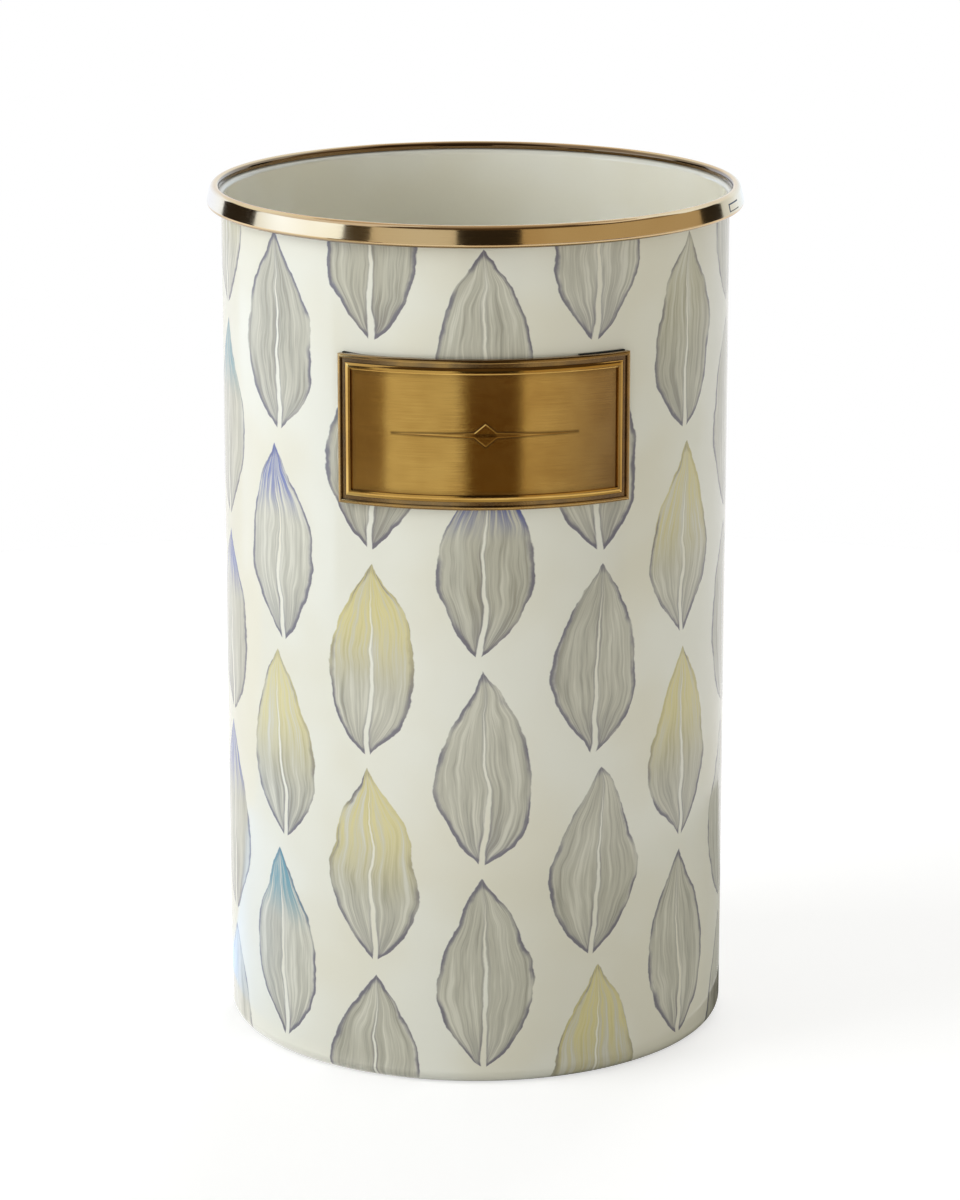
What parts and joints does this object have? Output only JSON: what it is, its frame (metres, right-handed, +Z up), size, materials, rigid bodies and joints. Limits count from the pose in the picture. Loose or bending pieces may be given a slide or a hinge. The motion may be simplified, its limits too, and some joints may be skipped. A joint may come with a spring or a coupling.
{
  "type": "utensil crock",
  "caption": "Tall straight-sided enamelled steel crock with a crimped bronze-coloured rim and a framed brass plaque on the front, for standing kitchen utensils in.",
  "frame": {"origin": "on the floor under the middle of the base", "axes": "+Z up along the crock's axis, the plaque on the front facing -Y, +X to the right seen from the front"},
  "size_m": [0.1182, 0.1182, 0.1905],
  "materials": {
    "enamel": "glossy enamel, ivory with grey brushed leaves outside and plain ivory inside",
    "rim_bronze": "polished steel with a bronze tint",
    "plaque_brass": "brushed and antiqued, darker in the groove",
    "pad_foam": "matt black foam tape"
  },
  "bodies": {
    "root": {"enamelled_body": "enamel", "rim_band": "rim_bronze", "front_plaque": "plaque_brass", "plaque_pad_left": "pad_foam", "plaque_pad_right": "pad_foam"}
  },
  "joints": []
}
